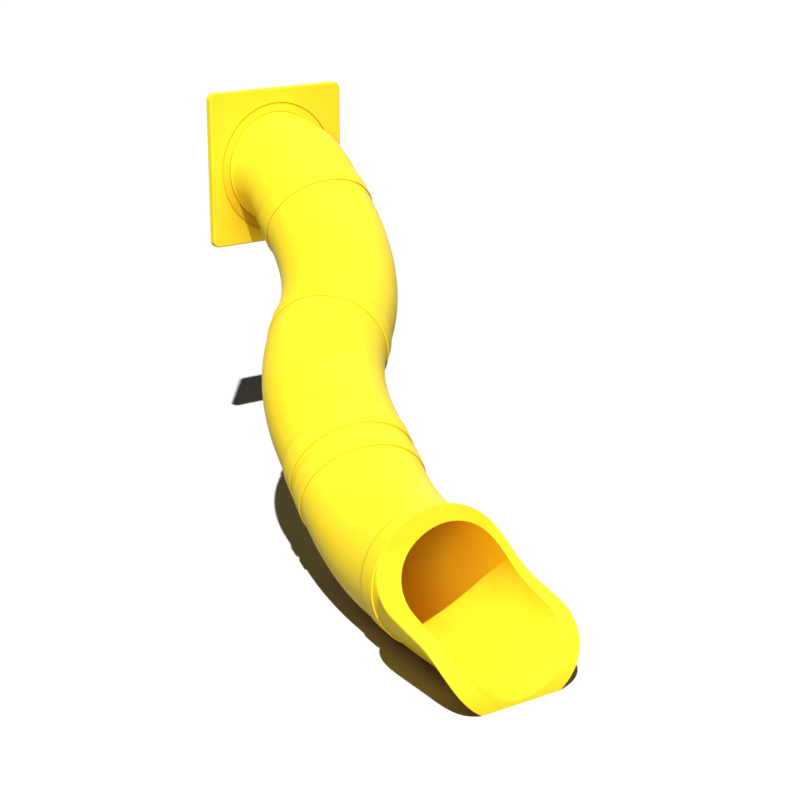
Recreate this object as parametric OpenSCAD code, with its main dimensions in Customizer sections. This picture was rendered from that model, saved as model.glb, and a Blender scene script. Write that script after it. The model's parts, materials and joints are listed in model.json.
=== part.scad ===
// Tube slide: a square entry panel, four curved tube sections, a short coupler and an exit chute.
// Each section plugs into the bell of the one above it and is held by countersunk joint screws.
// Origin: middle of the panel's back face. The slide leaves the panel along -Y and goes down.
// A positive heading turns the run towards +X. A slope points the run downwards.

/* [Tube] */
// Inside diameter of the tube
bore_d = 762; // [700:1:820]
// Wall of the tube
wall = 8; // [6:0.5:10]
// Length of a tube end that sits inside a bell
spigot_len = 100; // [80:1:120]
// How much thinner a spigot is than the tube, on its outside and on its inside
spigot_relief = 1; // [0.8:0.1:1.5]
// Radial gap between a spigot and its bell
bell_gap = 0.5; // [0.3:0.1:1]
// Wall of a bell, thick enough for the joint screws
bell_wall = 11; // [11:0.5:14]
// Length of a bell's full width
bell_len = 125; // [122:1:145]
// Length over which the tube widens into a bell
flare_len = 50; // [30:1:50]
// Chamfer round the mouth of a bell
mouth_chamfer = 2.5; // [1:0.5:4]
// Gap left between a spigot's end and the bell's shoulder
seat_gap = 0.3; // [0.2:0.1:1]

/* [Layout] */
// Bend radius of the entry elbow, to the tube's axis
entry_bend_r = 670; // [620:10:800]
// Bend radius of the upper and middle elbows
bend_r = 1780; // [1500:10:2000]
// Bend radius of the lower elbow
lower_bend_r = 1660; // [1400:10:1900]
// Straight stretch at the lower end of each elbow
tail_len = 316; // [200:1:400]
// Length of the coupler that shows
coupler_len = 200; // [180:1:300]
// Heading after the entry elbow
heading_angle_1 = -9.5; // [-20:0.1:0]
// Heading after the upper elbow
heading_angle_2 = -44.5; // [-55:0.1:-35]
// Heading after the middle elbow
heading_angle_3 = -15.2; // [-25:0.1:-5]
// Heading after the lower elbow
heading_angle_4 = -11.2; // [-18:0.1:-5]
// Slope after the entry elbow
slope_angle_1 = 32.8; // [25:0.1:40]
// Slope after the upper elbow
slope_angle_2 = 17.8; // [12:0.1:25]
// Slope after the middle elbow
slope_angle_3 = 26.3; // [20:0.1:32]

/* [Entry panel] */
// Width and height of the panel
panel_w = 1090; // [1060:1:1200]
// Thickness of the panel
panel_t = 60; // [52:1:80]
// Radius of the panel's corners
corner_r = 45; // [30:1:80]
// Rounding of the panel's edges
edge_r = 11; // [6:1:16]
// Height of the panel's middle above the tube's axis
panel_rise = 20; // [0:1:30]
// Thickness of the entry elbow's collar, where it passes through the panel
collar_wall = 13; // [12:0.5:18]
// Length of the collar that stands out of the panel's front at full thickness
collar_lip = 3; // [2:0.5:8]
// Reach of the collar's taper past the panel's front
collar_run = 16; // [12:1:30]
// Gap between the collar and the hole in the panel
hole_gap = 3; // [1:0.5:6]
// Diameter of the shallow recess round the hole, on the front
recess_d = 926; // [900:1:960]
// Depth of that recess
recess_depth = 6; // [3:0.5:8]
// Width of the flange behind the panel, beyond the collar
flange_reach = 52; // [48:1:56]
// Thickness of the flange
flange_t = 10; // [8:0.5:12]
// Gap round the flange in its rebate
rebate_gap = 3; // [1:0.5:4]

/* [Exit chute] */
// Bend radius of the chute's slight turn
exit_bend_r = 4010; // [3600:10:4200]
// Distance from the last joint to the front of the lip, measured along Y
exit_reach = 838; // [780:1:900]
// Height of the tube's axis above the ground at the exit
exit_height = 406; // [402:0.5:415]
// Width of the flat rim all round the mouth
rim_w = 96; // [80:1:110]
// Thickness of the rim
rim_t = 12; // [8:1:16]
// Lean of the hood's face from the vertical
hood_lean_angle = 8; // [2:0.5:15]
// Slope of the side walls between the hood and the lip
side_slope_angle = 16.5; // [12:0.5:20]
// Height of the line of the side walls above the tube's axis, at the front of the lip
side_drop = -104; // [-130:1:-80]
// Distance from the last joint to the corner under the hood, measured along Y
hood_reach = 150; // [130:1:180]
// Radius of the curve under the hood
hood_curve_r = 350; // [250:5:400]
// Radius of the curve that turns down to the lip
lip_curve_r = 380; // [250:5:380]

/* [Fasteners] */
// Joint screws in each tube joint
joint_screws = 8; // [6:1:12]
// Shank diameter of the joint and flange screws
screw_d = 10; // [8:1:12]
// Head diameter of the screws
head_d = 20; // [18:1:22]
// Height of the countersunk head
head_h = 5; // [4:0.5:6]
// Reach of a joint screw past the bell, towards the bore
screw_reach = 13.5; // [11:0.5:14]
// Diameter of a tee nut's flange, inside the tube
nut_flange_d = 26; // [22:1:30]
// Thickness of a tee nut's flange
nut_flange_t = 2.5; // [2:0.1:3]
// Outside diameter of a tee nut's barrel
nut_barrel_d = 14; // [13:0.5:16]
// Length of a tee nut's barrel
nut_barrel_len = 8; // [6:0.5:8.5]
// Screws through the flange behind the panel
flange_screws_n = 8; // [6:1:16]
// Length of a flange screw
flange_screw_len = 34; // [30:1:38]
// Outside diameter of a threaded insert for the flange
insert_d = 18; // [16:1:22]
// Length of a threaded insert for the flange
insert_len = 30; // [28:1:34]
// Thread diameter of the panel's mounting inserts
mount_d = 12; // [10:1:14]
// Outside diameter of a mounting insert
mount_insert_d = 24; // [20:1:28]
// Length of a mounting insert
mount_insert_len = 42; // [36:1:46]
// Distance of a mounting insert from the panel's edges
mount_inset = 65; // [60:1:70]
// Running clearance round shanks and barrels
fit_gap = 0.1; // [0.05:0.05:0.3]

/* [Hidden] */
$fn = 96;

plastic = [1, 0.86, 0.1];
steel = [0.74, 0.75, 0.77];
brass = [0.8, 0.68, 0.35];

// Radii of the tube and of its bells
bore_r = bore_d / 2;
tube_r = bore_r + wall;
spigot_r = tube_r - spigot_relief;
spigot_bore_r = bore_r + spigot_relief;
socket_r = spigot_r + bell_gap;
bell_r = socket_r + bell_wall;
spigot_cut = spigot_len - seat_gap;

// A spigot is rooted this far in the wall of its bend
root = 3 / 8 * wall;
// Its seam lies this far round from the seam of the bend
seam_turn = 40;
// Length of the taper from the tube's bore to the wider bore of a spigot
bore_taper = 15 * spigot_relief;

// Seats of the joint screws and tee nuts, measured from the tube's axis
nut_seat = spigot_bore_r;
head_sink = 0.4;

// Radii about the panel's hole
collar_r = bore_r + collar_wall;
hole_r = collar_r + hole_gap;
flange_r = collar_r + flange_reach;
rebate_r = flange_r + rebate_gap;
flange_pitch_r = (hole_r + flange_r) / 2;

// Directions of the straight runs, from the panel to the exit
function run_dir(heading, slope) =
    [sin(heading) * cos(slope), -cos(heading) * cos(slope), -sin(slope)];
function unit(v) = v / norm(v);
function turn_angle(from, to) = acos(min(1, from * to));
function turn_side(from, to) = unit(to - (from * to) * from);
function after_bend(p, from, to, r) = p + r * tan(turn_angle(from, to) / 2) * (from + to);
function level_side(d) = unit(cross(d, [0, 0, 1]));

dir_0 = run_dir(0, 0);
dir_1 = run_dir(heading_angle_1, slope_angle_1);
dir_2 = run_dir(heading_angle_2, slope_angle_2);
dir_3 = run_dir(heading_angle_3, slope_angle_3);
dir_4 = run_dir(heading_angle_4, 0);

// Middle of each joint: the plane of the bell's mouth, on the tube's axis
entry_at = [0, -panel_t, -panel_rise];
joint_1 = after_bend(entry_at, dir_0, dir_1, entry_bend_r) + tail_len * dir_1;
joint_2 = after_bend(joint_1, dir_1, dir_2, bend_r) + tail_len * dir_2;
joint_3 = after_bend(joint_2, dir_2, dir_3, bend_r) + tail_len * dir_3;
joint_4 = joint_3 + coupler_len * dir_3;
joint_5 = after_bend(joint_4, dir_3, dir_4, lower_bend_r) + tail_len * dir_4;
exit_at = after_bend(joint_5, dir_4, dir_0, exit_bend_r);

// The lip stands on the ground
ground_z = joint_5[2] - exit_height;
rim_r = tube_r + rim_w;

// Further out than any wall of the chute, for the far sides of its cutters
far = 2 * rim_r;
lip_y = joint_5[1] - exit_reach;

// Puts a shape made along +Z on a run: its start at p, its axis along d, its X level
module on_run(p, d) {
    x = level_side(d);
    y = cross(d, x);
    multmatrix([
        [x[0], y[0], d[0], p[0]],
        [x[1], y[1], d[1], p[1]],
        [x[2], y[2], d[2], p[2]],
        [0, 0, 0, 1]
    ])
    children();
}

// A bend's own frame: it turns about Z, comes round to +X at distance r and leaves along +Y
function bend_z(from, to) = cross(from, turn_side(from, to));

// Puts a section made in its bend's own frame between two runs: it starts at p along `from`
module on_bend(p, from, to, r) {
    z = bend_z(from, to);
    x = cross(to, z);
    c = after_bend(p, from, to, r) - r * x;
    multmatrix([
        [x[0], to[0], z[0], c[0]],
        [x[1], to[1], z[1], c[1]],
        [x[2], to[2], z[2], c[2]],
        [0, 0, 0, 1]
    ])
    children();
}

// In a bend's frame: +Z points back along the run before the bend
module before_bend(r, angle) {
    rotate([0, 0, -angle])
    translate([r, 0, 0])
    rotate([90, 0, 0])
    children();
}

// In a bend's frame: +Z points on along the run after the bend
module beyond_bend(r) {
    translate([r, 0, 0])
    rotate([-90, 0, 0])
    children();
}

// Angles about those two axes at which the level direction lies
function roll_before(from, to) =
    atan2(level_side(from) * bend_z(from, to), level_side(from) * cross(from, bend_z(from, to)));
function roll_beyond(from, to) =
    atan2(-(level_side(to) * bend_z(from, to)), level_side(to) * cross(to, bend_z(from, to)));

// The curved pipe of a bend, in its own frame
module bend_pipe(r, angle) {
    mirror([0, 1, 0])
    rotate_extrude(angle = angle)
    translate([r, 0])
    difference() {
        circle(tube_r);
        circle(bore_r);
    }
}

// Spigot along +Z from its joint at z = 0, rooted in the wall of the bend; its bore is cut later
module spigot_ring() {
    rotate([0, 0, seam_turn])
    rotate_extrude()
    translate([bore_r - root, -root])
    square([spigot_r - bore_r + root, spigot_cut + root]);
}

// Cutter for a widened bore along +Z, up to z = length, with the taper that leads into it
module wide_bore(length) {
    rotate_extrude()
    polygon([
        [0, -bore_taper],
        [bore_r - 0.5 * spigot_relief, -bore_taper],
        [spigot_bore_r, 0],
        [spigot_bore_r, length],
        [0, length]
    ]);
}

// Half section of a straight end that widens into a bell, mouth at y = length
module bell_section(length) {
    shoulder = length - spigot_len;
    flare_at = length - bell_len - flare_len;
    rise = bell_r - tube_r;
    polygon([
        [bore_r, 0],
        [tube_r, 0],
        for (i = [0 : 6])
            [tube_r + rise * (3 - i / 3) * i * i / 36, flare_at + flare_len * i / 6],
        [bell_r, length - mouth_chamfer],
        [bell_r - mouth_chamfer, length],
        [socket_r + mouth_chamfer, length],
        [socket_r, length - mouth_chamfer],
        [socket_r, shoulder],
        [bore_r, shoulder]
    ]);
}

// Straight end with a bell, from the bend at z = 0 to the bell's mouth
module bell_end(length) {
    rotate_extrude()
    bell_section(length);
}

// Puts children at the joint screws about +Z: their own +Z points outwards from the axis
module round_joint(roll) {
    step = 360 / joint_screws;
    for (i = [0 : joint_screws - 1])
        rotate([0, 0, roll + (i + 0.5) * step])
        rotate([0, 90, 0])
        children();
}

// Screw hole and countersink through a bell, with room for the tee nut's barrel
module bell_hole() {
    barrel_top = nut_seat + nut_flange_t + nut_barrel_len + fit_gap;
    rotate_extrude()
    polygon([
        [0, bore_r],
        [nut_barrel_d / 2 + fit_gap, bore_r],
        [nut_barrel_d / 2 + fit_gap, barrel_top],
        [screw_d / 2 + 2 * fit_gap, barrel_top],
        [screw_d / 2 + 2 * fit_gap, bell_r - head_h - head_sink],
        [head_d / 2 + fit_gap, bell_r - head_sink],
        [head_d / 2 + fit_gap, bell_r + 2],
        [0, bell_r + 2]
    ]);
}

// Hole for a tee nut's barrel through a spigot, with a recess for its flange
module spigot_hole() {
    rotate_extrude()
    polygon([
        [0, bore_r - 10],
        [nut_flange_d / 2 + fit_gap, bore_r - 10],
        [nut_flange_d / 2 + fit_gap, nut_seat + nut_flange_t + 0.05],
        [nut_barrel_d / 2 + fit_gap, nut_seat + nut_flange_t + 0.05],
        [nut_barrel_d / 2 + fit_gap, bell_r],
        [0, bell_r]
    ]);
}

// One countersunk screw with a hexagon socket: the top of its head at z = 0, pointing down
module countersunk_screw(length) {
    difference() {
        rotate_extrude()
        polygon([
            [0, 0],
            [head_d / 2, 0],
            [screw_d / 2, -head_h],
            [screw_d / 2, 1 - length],
            [screw_d / 2 - 1, -length],
            [0, -length]
        ]);
        translate([0, 0, -head_h * 0.7])
        cylinder(d = screw_d * 0.6, h = head_h, $fn = 6);
    }
}

// One tee nut: flange at the bottom, blind barrel that the screw threads into
module tee_nut() {
    rotate_extrude()
    polygon([
        [0, 0],
        [nut_flange_d / 2 - 1, 0],
        [nut_flange_d / 2, 1],
        [nut_flange_d / 2, nut_flange_t],
        [nut_barrel_d / 2, nut_flange_t],
        [nut_barrel_d / 2, nut_flange_t + nut_barrel_len],
        [screw_d / 2 + fit_gap, nut_flange_t + nut_barrel_len],
        [screw_d / 2 + fit_gap, nut_flange_t],
        [0, nut_flange_t]
    ]);
}

module joint_screw_set(joint, d) {
    color(plastic)
    on_run(joint - spigot_len / 2 * d, d)
    round_joint(0)
    translate([0, 0, bell_r - head_sink])
    countersunk_screw(screw_reach);
}

module joint_nut_set(joint, d) {
    color(plastic)
    on_run(joint - spigot_len / 2 * d, d)
    round_joint(0)
    translate([0, 0, nut_seat])
    tee_nut();
}

// Half section of the panel's rounded edge: x goes outwards to the rim, y through the thickness
module edge_section(reach) {
    square([reach - edge_r, panel_t]);
    translate([0, edge_r])
    square([reach, panel_t - 2 * edge_r]);
    for (y = [edge_r, panel_t - edge_r])
        translate([reach - edge_r, y])
        circle(edge_r);
}

// Solid panel with rounded corners and edges, back face on z = 0, front towards +Z
module panel_blank() {
    half = panel_w / 2;
    inner = half - corner_r;
    translate([-inner, -inner, 0])
    cube([2 * inner, 2 * inner, panel_t]);
    for (k = [0 : 3])
        rotate([0, 0, 90 * k]) {
            translate([inner, inner, 0])
            rotate_extrude(angle = 90)
            edge_section(corner_r);
            translate([inner, inner, 0])
            rotate([90, 0, 0])
            linear_extrude(2 * inner)
            edge_section(corner_r);
        }
}

// Turns shapes made on the panel's own plane: +Z forwards becomes -Y, and +Y becomes +Z
module on_panel() {
    rotate([90, 0, 0])
    children();
}

// The same, about the tube's axis
module round_tube() {
    translate([0, 0, -panel_rise])
    on_panel()
    children();
}

// Puts children at the flange screws about +Z
module at_flange_screws(roll) {
    step = 360 / flange_screws_n;
    for (i = [0 : flange_screws_n - 1])
        rotate([0, 0, roll + (i + 0.5) * step])
        translate([flange_pitch_r, 0, 0])
        children();
}

module at_mounts() {
    reach = panel_w / 2 - mount_inset;
    for (x = [-reach, reach], y = [-reach, reach])
        translate([x, y, 0])
        children();
}

module entry_panel() {
    color(plastic)
    difference() {
        on_panel()
        panel_blank();
        round_tube() {
            translate([0, 0, -1])
            cylinder(r = hole_r, h = panel_t + 2);
            translate([0, 0, panel_t - recess_depth])
            cylinder(d = recess_d, h = recess_depth + 1);
            translate([0, 0, -1])
            cylinder(r = rebate_r, h = flange_t + 1 + seat_gap);
            at_flange_screws(0)
            cylinder(d = insert_d, h = flange_t + seat_gap + insert_len);
        }
        on_panel()
        at_mounts()
        translate([0, 0, -1])
        cylinder(d = mount_insert_d, h = mount_insert_len + 1);
    }
}

// Threaded bushes moulded into the back of the panel, for the bolts that hold it to a platform
module panel_mount_inserts() {
    color(brass)
    on_panel()
    at_mounts()
    difference() {
        cylinder(d = mount_insert_d, h = mount_insert_len);
        translate([0, 0, -1])
        cylinder(d = mount_d, h = mount_insert_len - 4);
    }
}

// Threaded bushes moulded under the flange's rebate
module flange_inserts() {
    color(brass)
    round_tube()
    at_flange_screws(0)
    translate([0, 0, flange_t + seat_gap])
    difference() {
        cylinder(d = insert_d, h = insert_len);
        translate([0, 0, -1])
        cylinder(d = screw_d + 2 * fit_gap, h = insert_len - 2);
    }
}

module flange_screws() {
    color(steel)
    round_tube()
    at_flange_screws(0)
    translate([0, 0, head_sink])
    mirror([0, 0, 1])
    countersunk_screw(flange_screw_len);
}

// Hole through the entry elbow's flange, countersunk from behind
module flange_hole() {
    rotate_extrude()
    polygon([
        [0, -1],
        [head_d / 2 + fit_gap, -1],
        [head_d / 2 + fit_gap, head_sink],
        [screw_d / 2 + 2 * fit_gap, head_h + head_sink],
        [screw_d / 2 + 2 * fit_gap, flange_t + 2],
        [0, flange_t + 2]
    ]);
}

// Entry elbow: a flange behind the panel, a thick collar through it, then the first bend
module entry_elbow() {
    angle = turn_angle(dir_0, dir_1);
    r = entry_bend_r;
    color(plastic)
    on_bend(entry_at, dir_0, dir_1, r)
    difference() {
        union() {
            bend_pipe(r, angle);
            beyond_bend(r)
            bell_end(tail_len);
            // Flange and collar, from the panel's back at z = panel_t to its front at z = 0
            before_bend(r, angle)
            rotate_extrude()
            polygon([
                [bore_r - root, panel_t],
                [flange_r, panel_t],
                [flange_r, panel_t - flange_t],
                [collar_r, panel_t - flange_t],
                [collar_r, -collar_lip],
                [tube_r - wall / 3, -collar_run],
                [tube_r - wall / 3, -root],
                [bore_r - root, -root]
            ]);
        }
        before_bend(r, angle)
        wide_bore(panel_t + 1);
        // Chamfer round the way in
        before_bend(r, angle)
        translate([0, 0, panel_t - 5])
        cylinder(r1 = spigot_bore_r - 1, r2 = spigot_bore_r + 6, h = 7);
        before_bend(r, angle)
        translate([0, 0, panel_t])
        mirror([0, 0, 1])
        at_flange_screws(roll_before(dir_0, dir_1))
        flange_hole();
        beyond_bend(r)
        translate([0, 0, tail_len - spigot_len / 2])
        round_joint(roll_beyond(dir_0, dir_1))
        bell_hole();
    }
}

// Curved section between two joints: spigot, bend and bell
module elbow(from_joint, from, to, r) {
    angle = turn_angle(from, to);
    on_bend(from_joint, from, to, r)
    difference() {
        union() {
            bend_pipe(r, angle);
            beyond_bend(r)
            bell_end(tail_len);
            before_bend(r, angle)
            spigot_ring();
        }
        before_bend(r, angle)
        wide_bore(spigot_len + 5);
        before_bend(r, angle)
        translate([0, 0, spigot_len / 2])
        round_joint(roll_before(from, to))
        spigot_hole();
        beyond_bend(r)
        translate([0, 0, tail_len - spigot_len / 2])
        round_joint(roll_beyond(from, to))
        bell_hole();
    }
}

module upper_elbow() {
    color(plastic)
    elbow(joint_1, dir_1, dir_2, bend_r);
}

module middle_elbow() {
    color(plastic)
    elbow(joint_2, dir_2, dir_3, bend_r);
}

// Short straight section: a spigot and a bell in one
module coupler() {
    color(plastic)
    on_run(joint_3, dir_3)
    difference() {
        rotate_extrude()
        union() {
            translate([bore_r - root, -spigot_cut])
            square([spigot_r - bore_r + root, spigot_cut + root]);
            bell_section(coupler_len);
        }
        mirror([0, 0, 1])
        wide_bore(spigot_len + 5);
        translate([0, 0, -spigot_len / 2])
        round_joint(0)
        spigot_hole();
        translate([0, 0, coupler_len - spigot_len / 2])
        round_joint(0)
        bell_hole();
    }
}

module lower_elbow() {
    color(plastic)
    elbow(joint_4, dir_3, dir_4, lower_bend_r);
}

// The chute is made with the end of its turn at the origin, and its front towards -Y.
// Solid curved rod along the chute, from the last joint, or `early` degrees above it, past the lip
module chute_rod(r, early) {
    past_lip = 2.5;
    translate([exit_bend_r, 0, 0])
    mirror([1, 0, 0])
    rotate([0, 0, -past_lip])
    rotate_extrude(angle = past_lip - heading_angle_4 + early, $fn = 256)
    translate([exit_bend_r, 0])
    circle(r);
}

// Puts children at the last joint: +Z points back up the slide
module at_last_joint() {
    translate([exit_bend_r, 0, 0])
    mirror([1, 0, 0])
    rotate([0, 0, -heading_angle_4])
    translate([exit_bend_r, 0, 0])
    rotate([-90, 0, 0])
    children();
}

// The chute's side view, right across it: all that lies behind the S curve of the rim, moved
// back by `back`. Hood face, curve under the hood, side walls, curve down to the lip, front.
// In the side view x runs forwards from the last joint and y up from the tube's axis.
module rim_block(back, width) {
    lean = hood_lean_angle;
    fall = side_slope_angle;
    face_out = [cos(lean), sin(lean)];
    face_up = [-sin(lean), cos(lean)];
    side_out = [sin(fall), cos(fall)];
    side_down = [cos(fall), -sin(fall)];
    // Corner where the hood's face would meet the line of the side walls
    hood_corner = [hood_reach, side_drop + (exit_reach - hood_reach) * tan(fall)];
    hood_tangent = hood_curve_r * tan((90 - lean - fall) / 2);
    hood_start = hood_corner + hood_tangent * face_up;
    hood_end = hood_corner + hood_tangent * side_down;
    hood_centre = hood_start + hood_curve_r * face_out;
    // Corner where the line of the side walls would meet the front of the lip
    lip_tangent = lip_curve_r * tan((90 - fall) / 2);
    lip_start = [exit_reach, side_drop] - lip_tangent * side_down;
    lip_centre = [exit_reach - lip_curve_r, side_drop - lip_tangent];
    // The curves cross their straight neighbours by a hair, a little way past the tangent points
    past = 12;
    hair = 0.05;
    translate([width / 2, joint_5[1] - exit_at[1], 0])
    rotate([0, 0, -90])
    rotate([90, 0, 0])
    difference() {
        union() {
            linear_extrude(width)
            polygon([
                hood_start + far * face_up - back * face_out,
                hood_start + past * face_up - back * face_out,
                hood_end + past * side_down - back * side_out,
                lip_start - back * side_out,
                [exit_reach - back, lip_centre[1]],
                [exit_reach - back, -far],
                [-far - back, -far],
                [-far - back, far]
            ]);
            translate([lip_centre[0], lip_centre[1], 1])
            cylinder(r = lip_curve_r - back + hair, h = width - 2);
        }
        translate([hood_centre[0], hood_centre[1], -1])
        cylinder(r = hood_curve_r + back + hair, h = width + 2);
    }
}

module exit_chute() {
    color(plastic)
    translate(exit_at)
    difference() {
        union() {
            difference() {
                intersection() {
                    union() {
                        chute_rod(tube_r, 0);
                        // Flat rim, bent to the S curve and cut round by a circle
                        difference() {
                            translate([0, joint_5[1] - exit_at[1] + tube_r, 0])
                            rotate([90, 0, 0])
                            cylinder(r = rim_r, h = exit_reach + tube_r + rim_w);
                            rim_block(rim_t, 2.2 * far);
                        }
                    }
                    rim_block(0, 2 * far);
                }
                chute_rod(bore_r, 1);
                // Everything under the ground
                translate([-far, -exit_reach, -exit_height - far])
                cube([2 * far, 2 * exit_reach, far]);
            }
            at_last_joint()
            spigot_ring();
        }
        at_last_joint()
        wide_bore(spigot_len + 5);
        at_last_joint()
        translate([0, 0, spigot_len / 2])
        round_joint(0)
        spigot_hole();
    }
}

module joint_1_screws() {
    joint_screw_set(joint_1, dir_1);
}

module joint_2_screws() {
    joint_screw_set(joint_2, dir_2);
}

module joint_3_screws() {
    joint_screw_set(joint_3, dir_3);
}

module joint_4_screws() {
    joint_screw_set(joint_4, dir_3);
}

module joint_5_screws() {
    joint_screw_set(joint_5, dir_4);
}

module joint_1_nuts() {
    joint_nut_set(joint_1, dir_1);
}

module joint_2_nuts() {
    joint_nut_set(joint_2, dir_2);
}

module joint_3_nuts() {
    joint_nut_set(joint_3, dir_3);
}

module joint_4_nuts() {
    joint_nut_set(joint_4, dir_3);
}

module joint_5_nuts() {
    joint_nut_set(joint_5, dir_4);
}

entry_panel();
panel_mount_inserts();
flange_inserts();
flange_screws();
entry_elbow();
upper_elbow();
middle_elbow();
coupler();
lower_elbow();
exit_chute();
joint_1_screws();
joint_2_screws();
joint_3_screws();
joint_4_screws();
joint_5_screws();
joint_1_nuts();
joint_2_nuts();
joint_3_nuts();
joint_4_nuts();
joint_5_nuts();
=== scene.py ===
# %% [markdown]
# # Tube slide: a moulded yellow playground tube
#
# The real slide is a stack of hollow plastic sections. Each is rotationally moulded: plastic
# powder is tumbled in a hot steel mould until it melts into a skin, so every section is one
# smooth, closed shell with soft edges. The sections plug into each other and are bolted.
#
# The shapes come from the CAD model, which is already exact, so this notebook does not model the
# tubes again. It gives every part the surface that the real material has, and then builds the
# floor, the light and the camera.

# %% Load the slide's parts
import json
from math import pi, radians

import bpy
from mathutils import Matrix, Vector


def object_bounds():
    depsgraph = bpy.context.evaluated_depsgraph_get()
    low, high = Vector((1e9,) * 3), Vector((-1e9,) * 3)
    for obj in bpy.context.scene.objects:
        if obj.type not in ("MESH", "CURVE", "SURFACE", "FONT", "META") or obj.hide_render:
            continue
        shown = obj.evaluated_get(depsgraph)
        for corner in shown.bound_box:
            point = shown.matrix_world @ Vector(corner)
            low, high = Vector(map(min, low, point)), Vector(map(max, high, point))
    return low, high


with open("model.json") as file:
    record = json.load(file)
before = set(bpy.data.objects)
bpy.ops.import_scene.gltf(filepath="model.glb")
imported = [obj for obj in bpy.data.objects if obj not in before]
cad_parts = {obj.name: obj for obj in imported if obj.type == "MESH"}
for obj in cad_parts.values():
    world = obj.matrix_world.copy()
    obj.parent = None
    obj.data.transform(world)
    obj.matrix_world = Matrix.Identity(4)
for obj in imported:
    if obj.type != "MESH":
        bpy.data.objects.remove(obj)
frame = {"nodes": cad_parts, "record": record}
cad_low, cad_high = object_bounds()
print("parts:", len(frame["nodes"]))
print("the slide measures", [round(high - low, 3) for low, high in zip(cad_low, cad_high)], "m")

# %% [markdown]
# ## Colours
#
# A hex colour is what a person picks on a screen, and it is gamma coded. Blender mixes light with
# linear numbers. One function turns the first into the second, by the curve of the sRGB standard,
# so each colour below can be written the way a paint card would give it.

# %% Hex colours to linear light
def linear(hex_colour):
    """The linear RGBA value of an sRGB colour such as #FFD400."""
    channels = [int(hex_colour[i:i + 2], 16) / 255 for i in (1, 3, 5)]
    light = [c / 12.92 if c <= 0.04045 else ((c + 0.055) / 1.055) ** 2.4 for c in channels]
    return (*light, 1.0)


print("mid grey #808080 is", round(linear("#808080")[0], 3), "in linear light")

# %% [markdown]
# ## A short way to write node materials
#
# A node material is a list of nodes, each with some settings and some links. Written out in full
# that is three lines for each value. One helper adds a node, fills in its values and joins it to
# the nodes before it, so a material reads from top to bottom like a recipe.
#
# A Mix node that mixes colours has its two colours on sockets 6 and 7 and its result on output 2,
# because the sockets for plain numbers and vectors come first. These numbers get names here.

# %% One helper that adds a node
colour_a, colour_b, colour_out = 6, 7, 2
colour_mix = {"data_type": "RGBA"}


def add_node(tree, kind, settings=(), values=(), links=()):
    """Adds a node: settings are its own options, values fill its sockets, links feed them."""
    node = tree.nodes.new(kind)
    for name, value in dict(settings).items():
        setattr(node, name, value)
    for socket, value in dict(values).items():
        node.inputs[socket].default_value = value
    for socket, source in dict(links).items():
        tree.links.new(source, node.inputs[socket])
    return node


# %% [markdown]
# Each material starts empty, so that nothing in it comes from Blender's defaults unseen. The
# viewport shows a material without its nodes, in one flat colour, which is set here too.

# %% An empty material
def new_material(name, shown_colour):
    """An empty node material, and the colour that the viewport shows for it."""
    material = bpy.data.materials.new(name)
    material.use_nodes = True
    material.node_tree.nodes.clear()
    material.diffuse_color = linear(shown_colour)
    return material, material.node_tree


# %% [markdown]
# ## Pattern sizes from real millimetres
#
# A noise texture repeats about once for each unit of its scale. The slide is drawn in metres, so a
# pattern whose bumps are `size` millimetres apart needs a scale of 1000 / size. Keeping that in
# one function lets every material below name its real size.

# %% Millimetres to texture scale
mm_in_a_metre = 1000


def per_metre(size_mm):
    """The texture scale for features this many millimetres apart."""
    return mm_in_a_metre / size_mm


print("6 mm bumps need a noise scale of", round(per_metre(6), 1))

# %% [markdown]
# ## The moulded plastic of the tubes
#
# The sections are linear low-density polyethylene (LLDPE), coloured through with yellow pigment.
# A polished steel mould leaves a satin skin: smooth, but not a mirror. Close up it shows what the
# moulding and some summers outdoors did to it, and each of these marks gets a layer of its own.
#
# The first is *pigment drift*. The pigment tumbles unevenly, so one patch is a touch warmer than
# the next, over about half a metre. A noise texture gives the patches. Its values crowd about the
# middle, so only its middle third is stretched over the two tones.

# %% Pigment that drifts
def pigment(tree, place, main, warm, drift_mm):
    """The yellow, drifting between two tones in large soft patches."""
    drift = add_node(tree, "ShaderNodeTexNoise",
                     values={"Scale": per_metre(drift_mm), "Detail": 2.0, "Roughness": 0.45},
                     links={"Vector": place})
    amount = add_node(tree, "ShaderNodeMapRange",
                      values={"From Min": 0.35, "From Max": 0.65},
                      links={"Value": drift.outputs["Fac"]})
    tone = add_node(tree, "ShaderNodeMix", colour_mix,
                    values={colour_a: linear(main), colour_b: linear(warm)},
                    links={"Factor": amount.outputs["Result"]})
    return tone.outputs[colour_out]
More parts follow.
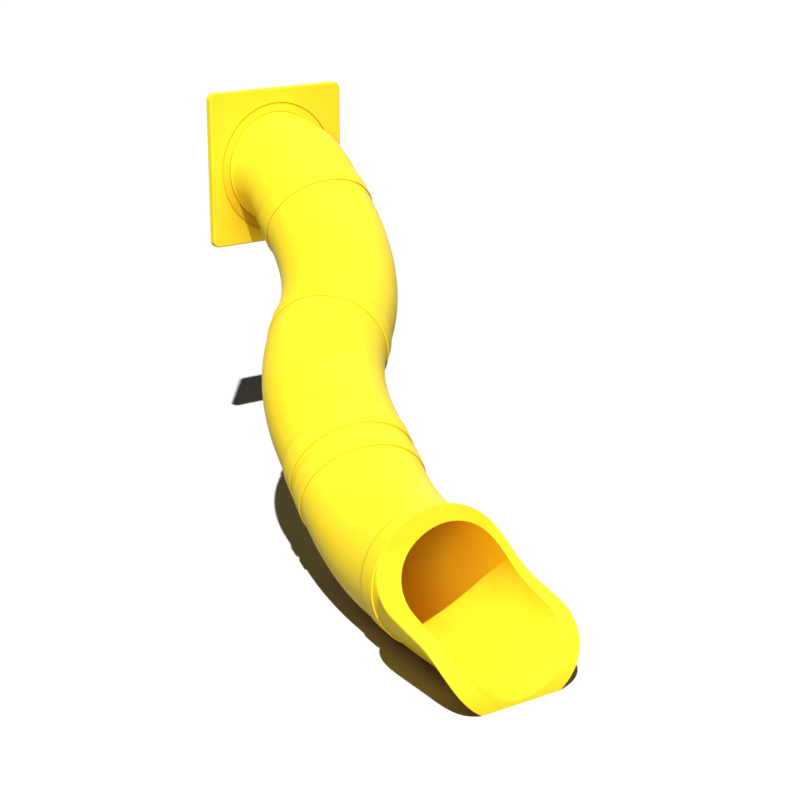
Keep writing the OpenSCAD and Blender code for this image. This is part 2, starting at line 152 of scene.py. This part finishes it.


# %% [markdown]
# The Ambient Occlusion node measures how much of the sky a point is cut off from, wherever the
# camera is: 1 is a point in the open, and 0 one that is shut in. It is used twice.
#
# Both times it paints shade into the colour. Over a long reach it finds what is shut in: inside the
# tube it paints a deeper golden yellow, standing in for light bounced around the tube, and on the
# panel a dark brown shadow in the corner under the tube. Over a few millimetres it finds the
# *grooves*, such as the one where a tube enters the bell of the next, and darkens them as painted
# shade.
#
# A painted map could do the same, but it would have to be unwrapped for every section. The node
# needs 12 samples, because with fewer the tone turns grainy.

# %% A painted shade tone for what is cut off from the sky
def painted_shade_tone(tree, colour, tone, reach_mm, open_sky, closed, strength):
    """Mixes in painted shade where surfaces within reach_mm cut a point off from the sky."""
    sky = add_node(tree, "ShaderNodeAmbientOcclusion", {"samples": 12},
                   values={"Distance": reach_mm / mm_in_a_metre})
    amount = add_node(tree, "ShaderNodeMapRange", {"interpolation_type": "SMOOTHSTEP"},
                      values={"From Min": open_sky, "From Max": closed, "To Max": strength},
                      links={"Value": sky.outputs["AO"]})
    mixed = add_node(tree, "ShaderNodeMix", colour_mix,
                     values={colour_b: linear(tone)},
                     links={"Factor": amount.outputs["Result"], colour_a: colour})
    return mixed.outputs[colour_out]


# %% [markdown]
# The skin isn't quite flat either, and that shows where light grazes it.
#
# - *Orange peel.* The skin shrinks off the mould as it cools, and leaves soft bumps about 6 mm
#   apart and a tenth of a millimetre high at most. They break up the highlights.
# - *Powder grain.* The grains of the powder are about 0.5 mm. That is finer than a pixel here, so
#   it is drawn 2 mm apart, as coarse as it needs to be to roughen the sheen.
#
# Both are far too small to be worth real geometry. A Bump node bends the light as if they were
# there, and a second one takes the first one's result and adds the grain to it.

# %% Orange peel and powder grain
peel_height_mm = 0.10
grain_height_mm = 0.03


def moulded_relief(tree, place, peel_mm, grain_mm):
    """Orange peel with powder grain on top of it, these many millimetres apart."""
    peel = add_node(tree, "ShaderNodeTexNoise",
                    values={"Scale": per_metre(peel_mm), "Detail": 1.0},
                    links={"Vector": place})
    waves = add_node(tree, "ShaderNodeBump",
                     values={"Strength": 0.6, "Distance": peel_height_mm / mm_in_a_metre},
                     links={"Height": peel.outputs["Fac"]})
    grain = add_node(tree, "ShaderNodeTexNoise",
                     values={"Scale": per_metre(grain_mm), "Detail": 2.0},
                     links={"Vector": place})
    both = add_node(tree, "ShaderNodeBump",
                    values={"Strength": 0.5, "Distance": grain_height_mm / mm_in_a_metre},
                    links={"Height": grain.outputs["Fac"], "Normal": waves.outputs["Normal"]})
    return both.outputs["Normal"]


# %% [markdown]
# The gloss varies too. Where people slide and touch, the plastic is *burnished*, and the rain
# leaves the rest *duller*. A noise in patches of 120 mm moves the roughness between the two.
# Polyethylene bends light with an index of about 1.51. Its matt skin mirrors less than that index
# says, so the specular level is lowered to match the photograph.
#
# One thing makes a yellow tube slide what it is to a child: inside, it glows orange. Each time that
# light bounces off yellow plastic it loses some green and nearly all its blue, and in a tube it
# bounces many times. Part of that comes from a saturated colour and a closed shape, and a painted
# shade tone inside the tube deepens it further. The wall is also a little milky, and red light
# soaks furthest into it, so a trace of subsurface scattering softens the edge between light and
# shade. More of it would wash out the moulded edges.

# %% Rotomoulded polyethylene
# Painted shade: the brown that narrow grooves are darkened to.
groove_shade_colour = "#A8741A"
drift_mm, rub_mm = 520, 120
painted_shade_reach_mm, groove_reach_mm = 900, 9
milky_depth_mm = 12


def moulded_polyethylene(name, main, warm, painted_shade_colour, open_sky, closed, burnished, dull,
                         peel_mm, grain_mm, glow, groove_shade):
    """Satin LLDPE, as it comes out of a steel mould, with painted shade where it is shut in."""
    material, tree = new_material(name, main)
    place = add_node(tree, "ShaderNodeTexCoord").outputs["Object"]
    colour = pigment(tree, place, main, warm, drift_mm)
    # Painted shade: a deeper tone where the surface is shut in, golden inside the tubes and brown
    # under the tube on the panel.
    colour = painted_shade_tone(tree, colour, painted_shade_colour, painted_shade_reach_mm, open_sky, closed,
                          strength=1.0)
    # Painted shade: narrow grooves, such as where a tube enters a bell, are darkened to brown.
    colour = painted_shade_tone(tree, colour, groove_shade_colour, groove_reach_mm, open_sky=0.75, closed=0.25,
                          strength=groove_shade)
    relief = moulded_relief(tree, place, peel_mm, grain_mm)
    rubbed = add_node(tree, "ShaderNodeTexNoise",
                      values={"Scale": per_metre(rub_mm), "Detail": 4.0, "Roughness": 0.6},
                      links={"Vector": place})
    gloss = add_node(tree, "ShaderNodeMapRange",
                     values={"From Min": 0.3, "From Max": 0.7,
                             "To Min": burnished, "To Max": dull},
                     links={"Value": rubbed.outputs["Fac"]})
    skin = add_node(tree, "ShaderNodeBsdfPrincipled",
                    values={"IOR": 1.51, "Metallic": 0.0, "Specular IOR Level": 0.03,
                            "Subsurface Weight": glow, "Subsurface Radius": (1.0, 0.42, 0.06),
                            "Subsurface Scale": milky_depth_mm / mm_in_a_metre},
                    links={"Base Color": colour, "Roughness": gloss.outputs["Result"],
                           "Normal": relief})
    add_node(tree, "ShaderNodeOutputMaterial", links={"Surface": skin.outputs["BSDF"]})
    return material


# %% [markdown]
# The tubes and the panel are the same plastic out of two moulds. The panel's mould is rougher, so
# the panel is duller, with its peel and grain further apart, and it is too thick to glow. Where the
# panel is shut in under the tube it gets a painted dark brown shadow, and inside the tubes a
# painted deeper golden shade.

# %% Plastic for the tubes and for the panel
yellow, warm_yellow = "#FEE030", "#FDDC2A"

# The tube's painted shade is a deeper golden yellow, standing in for light bounced inside the tube.
tube_plastic = moulded_polyethylene(
    "rotomoulded_lldpe_tube", yellow, warm_yellow,
    painted_shade_colour="#FFBC22", open_sky=0.35, closed=0.1, burnished=0.40, dull=0.52,
    peel_mm=6, grain_mm=2, glow=0.08, groove_shade=0.7)
# The panel's painted shade is a dark brown shadow in the corner under the tube.
panel_plastic = moulded_polyethylene(
    "rotomoulded_lldpe_panel", yellow, warm_yellow,
    painted_shade_colour="#A87008", open_sky=0.6, closed=0.38, burnished=0.46, dull=0.58,
    peel_mm=8, grain_mm=2.5, glow=0.0, groove_shade=0.25)
print("yellow plastic in linear light:", [round(c, 3) for c in linear(yellow)[:3]])
print("nodes in the tube's plastic:", len(tube_plastic.node_tree.nodes))

# %% [markdown]
# ## Powder-coated screws
#
# The screws through the bells, and the tee nuts inside the tube, are steel, coated with yellow
# powder paint so that they almost vanish in the plastic. Paint is a dielectric like plastic, with
# an index near 1.5, but it flows out glossier, with a fine orange peel about 1.5 mm apart.
# Screwdrivers wear the paint at the socket, so the rare high values of a noise, in spots 3 mm
# apart, show as small darker chips.

# %% Powder paint over steel
chip_mm, paint_peel_mm = 3, 1.5
paint_peel_height_mm = 0.04


def powder_paint(name, paint, chip):
    """Glossy powder coat with a few chips."""
    material, tree = new_material(name, paint)
    place = add_node(tree, "ShaderNodeTexCoord").outputs["Object"]
    chips = add_node(tree, "ShaderNodeTexNoise",
                     values={"Scale": per_metre(chip_mm), "Detail": 3.0},
                     links={"Vector": place})
    chipped = add_node(tree, "ShaderNodeMapRange",
                       values={"From Min": 0.66, "From Max": 0.70},
                       links={"Value": chips.outputs["Fac"]})
    colour = add_node(tree, "ShaderNodeMix", colour_mix,
                      values={colour_a: linear(paint), colour_b: linear(chip)},
                      links={"Factor": chipped.outputs["Result"]})
    peel = add_node(tree, "ShaderNodeTexNoise", values={"Scale": per_metre(paint_peel_mm)},
                    links={"Vector": place})
    relief = add_node(tree, "ShaderNodeBump",
                      values={"Strength": 0.4, "Distance": paint_peel_height_mm / mm_in_a_metre},
                      links={"Height": peel.outputs["Fac"]})
    coat = add_node(tree, "ShaderNodeBsdfPrincipled",
                    values={"Roughness": 0.42, "IOR": 1.5, "Specular IOR Level": 0.15},
                    links={"Base Color": colour.outputs[colour_out],
                           "Normal": relief.outputs["Normal"]})
    add_node(tree, "ShaderNodeOutputMaterial", links={"Surface": coat.outputs["BSDF"]})
    return material


screw_paint = powder_paint("powder_coated_steel", "#FDDD2E", "#D9AE24")
print("paint for the screws:", screw_paint.name)

# %% [markdown]
# ## Stainless steel and brass
#
# The screws of the flange, behind the panel, are stainless steel, and the inserts in the panel
# are turned from brass bar. Nobody touches them, so they stay bare. A metal gets its look from its
# colour and from how rough the tool left it, so metallic is 1 and the index stays at its default.
# The tool's lines are noise stretched along one axis: long one way, 0.8 mm apart the other, which
# is coarser than real ones, so that they show.

# %% Worked metal
tool_line_mm = 0.8
tool_line_depth_mm = 0.03
stretched = 0.05


def worked_metal(name, bright, dark, roughness, along):
    """Bare metal with the marks of the tool that shaped it, running along one axis."""
    material, tree = new_material(name, bright)
    place = add_node(tree, "ShaderNodeTexCoord").outputs["Object"]
    scale = [stretched if axis == along else 1.0 for axis in "XYZ"]
    drawn = add_node(tree, "ShaderNodeMapping", values={"Scale": scale}, links={"Vector": place})
    lines = add_node(tree, "ShaderNodeTexNoise",
                     values={"Scale": per_metre(tool_line_mm), "Detail": 3.0},
                     links={"Vector": drawn.outputs["Vector"]})
    colour = add_node(tree, "ShaderNodeMix", colour_mix,
                      values={colour_a: linear(bright), colour_b: linear(dark)},
                      links={"Factor": lines.outputs["Fac"]})
    rough = add_node(tree, "ShaderNodeMapRange",
                     values={"To Min": roughness - 0.08, "To Max": roughness + 0.1},
                     links={"Value": lines.outputs["Fac"]})
    relief = add_node(tree, "ShaderNodeBump",
                      values={"Strength": 0.3, "Distance": tool_line_depth_mm / mm_in_a_metre},
                      links={"Height": lines.outputs["Fac"]})
    metal = add_node(tree, "ShaderNodeBsdfPrincipled", values={"Metallic": 1.0},
                     links={"Base Color": colour.outputs[colour_out],
                            "Roughness": rough.outputs["Result"],
                            "Normal": relief.outputs["Normal"]})
    add_node(tree, "ShaderNodeOutputMaterial", links={"Surface": metal.outputs["BSDF"]})
    return material


turned_stainless = worked_metal("turned_stainless_steel", "#C9CBCD", "#A9ABAE", 0.32, along="Y")
turned_brass = worked_metal("turned_brass", "#DDBB73", "#B8924E", 0.34, along="Y")
print("bare metals:", turned_stainless.name, "and", turned_brass.name)

# %% [markdown]
# ## Give each part its finish
#
# The record that came with the CAD model says what each part is made of. A table turns its words
# into the materials above. The panel and the tubes share one slot, but they come out of different
# moulds, so the panel gets its own, duller skin.

# %% Dress the parts
finish_of_slot = {
    "yellow_polyethylene": tube_plastic,
    "painted_screw_steel": screw_paint,
    "stainless_steel": turned_stainless,
    "brass": turned_brass,
}
slot_of_part = {part["node"]: part["material_slot"] for part in frame["record"]["subparts"]}
for name, part in frame["nodes"].items():
    finish = panel_plastic if name == "entry_panel" else finish_of_slot[slot_of_part[name]]
    if not part.material_slots:
        part.data.materials.append(finish)
    for slot in part.material_slots:
        slot.material = finish
    print(f"{name:20s} {finish.name}")

# %% [markdown]
# ## What the camera sees, and what lights the slide
#
# The photograph has a pure white background, yet its shadows are dark, and so are the undersides
# of the tubes. A real white floor would throw light back up at them. The Light Path node settles
# it: it tells which kind of ray is asking. The camera, mirrors and glass are shown white, and the
# soft light that bounces between surfaces meets something darker.

# %% Which rays are shown the white background
def seen_directly(tree):
    """1 for rays from the camera, off a gloss or through glass, and 0 for soft bounced light."""
    ray = add_node(tree, "ShaderNodeLightPath")
    seen = ray.outputs["Is Camera Ray"]
    for kind in ("Is Glossy Ray", "Is Transmission Ray"):
        seen = add_node(tree, "ShaderNodeMath", {"operation": "MAXIMUM"},
                        links={0: seen, 1: ray.outputs[kind]}).outputs[0]
    return seen


# %% [markdown]
# ## The floor
#
# The slide stands on a plain white floor. A matte paint with no sheen keeps the slide's shadow
# dark, because a floor with sheen would mirror the white sky in it. A trace of grain keeps it from
# looking like a paper cut-out. Light that bounces meets a mid grey instead, so that the undersides
# of the tubes stay in shade.

# %% Floor paint
floor_grain_mm = 20


def matte_floor_paint():
    """Flat white floor paint, with a grain that only just shows."""
    material, tree = new_material("matte_white_floor_paint", "#F8F8F8")
    place = add_node(tree, "ShaderNodeTexCoord").outputs["Object"]
    grain = add_node(tree, "ShaderNodeTexNoise",
                     values={"Scale": per_metre(floor_grain_mm), "Detail": 2.0},
                     links={"Vector": place})
    white = add_node(tree, "ShaderNodeMix", colour_mix,
                     values={colour_a: linear("#F7F7F7"), colour_b: linear("#F9F9F9")},
                     links={"Factor": grain.outputs["Fac"]})
    tone = add_node(tree, "ShaderNodeMix", colour_mix,
                    values={colour_a: linear("#707070")},
                    links={"Factor": seen_directly(tree), colour_b: white.outputs[colour_out]})
    paint = add_node(tree, "ShaderNodeBsdfPrincipled",
                     values={"Roughness": 1.0, "Specular IOR Level": 0.0},
                     links={"Base Color": tone.outputs[colour_out]})
    add_node(tree, "ShaderNodeOutputMaterial", links={"Surface": paint.outputs["BSDF"]})
    return material


# %% [markdown]
# The floor itself is one flat square at the height of the slide's lowest point. It must be wider
# than the camera sees: the top edge of the view meets the ground about 45 m away. The floor isn't
# part of the slide.

# %% A wide matte floor
middle_x, middle_y = -0.8, -2.2
ground_z = cad_low.z
reach = 110.0

floor_mesh = bpy.data.meshes.new("floor")
floor_mesh.from_pydata(
    [(-reach, -reach, 0), (reach, -reach, 0), (reach, reach, 0), (-reach, reach, 0)],
    [], [(0, 1, 2, 3)])
floor = bpy.data.objects.new("floor", floor_mesh)
bpy.context.scene.collection.objects.link(floor)
floor.location = (middle_x, middle_y, ground_z)
floor.data.materials.append(matte_floor_paint())
print("floor at z =", round(ground_z, 4), "m,", 2 * reach, "m wide")

# %% [markdown]
# ## The light
#
# The shadow in the photograph is dark, with a sharp edge, and it falls to the left of the slide
# and behind it. That takes one small, distant lamp, which in Blender is a sun with a small angle.
# A sun of strength pi lights a white card that faces it to exactly 1, so colours render about as
# they are written. Here the sun stands 34 degrees off the vertical, so it is a little stronger,
# to bring the level floor up to white.

# %% The sun
def far_lamp(name, travels, level, softness):
    """A lamp at no distance: level 1 lights a white card to 1, softness is its angle in degrees."""
    data = bpy.data.lights.new(name, "SUN")
    data.energy = level * pi
    data.angle = radians(softness)
    lamp = bpy.data.objects.new(name, data)
    bpy.context.scene.collection.objects.link(lamp)
    lamp.rotation_euler = travels.to_track_quat("-Z", "Y").to_euler()
    return lamp


sun_level = 1.27
sun_travels = Vector((0.340, 0.445, -0.829)).normalized()
far_lamp("sun", sun_travels, sun_level, softness=0.8)
print("light on the level floor:", round(sun_level * -sun_travels.z, 2), "(1 is white)")

# %% [markdown]
# The photograph's shaded sides are much lighter than its shadow on the floor, and daylight shows
# in the mouth of the tube. A photographer gets that with big white cards, held so that they light
# the subject and not the ground: one beside the camera, and one behind the subject, on the side
# that the sun doesn't reach. Blender has both halves of a card: a sun with a wide angle is soft,
# and light linking takes one object out of a lamp's reach, here the floor.

# %% Two white cards
front_card = far_lamp("front_card", Vector((0.640, 0.700, -0.310)), level=0.54, softness=20)
back_card = far_lamp("back_card", Vector((-0.760, -0.420, -0.496)), level=0.42, softness=80)
left_dark = bpy.data.collections.new("left_dark_by_the_cards")
left_dark.objects.link(floor)
for card in (front_card, back_card):
    card.light_linking.receiver_collection = left_dark
left_dark.collection_objects[0].light_linking.link_state = "EXCLUDE"

# %% [markdown]
# The sky adds a trace of fill light, which keeps the deepest shade from going black. The camera,
# and anything glossy, sees it as plain white.

# %% The sky
def white_sky(fill):
    """White where it is seen or mirrored, and a dim fill light everywhere else."""
    world = bpy.data.worlds.new("white_sky")
    world.use_nodes = True
    tree = world.node_tree
    tree.nodes.clear()
    level = add_node(tree, "ShaderNodeMapRange",
                     values={"To Min": fill, "To Max": 1.0},
                     links={"Value": seen_directly(tree)})
    sky = add_node(tree, "ShaderNodeBackground", values={"Color": (1, 1, 1, 1)},
                   links={"Strength": level.outputs["Result"]})
    add_node(tree, "ShaderNodeOutputWorld", links={"Surface": sky.outputs["Background"]})
    return world


bpy.context.scene.world = white_sky(fill=0.03)
print("the background is", bpy.context.scene.world.name)

# %% [markdown]
# ## The camera
#
# The place of the camera was worked out from the straight edges of the panel and from the round
# joints in the photograph. It is far away, with a long lens, so the slide hardly narrows with
# distance. The aim point isn't quite in the middle of the picture, which is what the small shift
# does. A turn of 36.8 degrees and a tilt of 17.5 degrees down are plain angles, so they are
# written as angles, in radians, rather than as a matrix.
#
# The Standard view transform shows colours as they are, where Blender's default would soften the
# bright yellow.

# %% Camera
tilt_down, turn_right = 0.3046, 0.6418

camera_data = bpy.data.cameras.new("camera")
camera_data.lens = 91.31
camera_data.sensor_width = 36.0
camera_data.shift_x = -0.0312
camera_data.shift_y = 0.0337
camera_data.clip_end = 400.0
camera = bpy.data.objects.new("camera", camera_data)
bpy.context.scene.collection.objects.link(camera)
camera.location = (-7.8009, -12.2598, 2.5654)
camera.rotation_euler = (pi / 2 - tilt_down, 0.0, -turn_right)
bpy.context.scene.camera = camera
bpy.context.scene.view_settings.view_transform = "Standard"
middle = Vector((middle_x, middle_y, ground_z / 2))
print("camera is", round((camera.location - middle).length, 2), "m away")
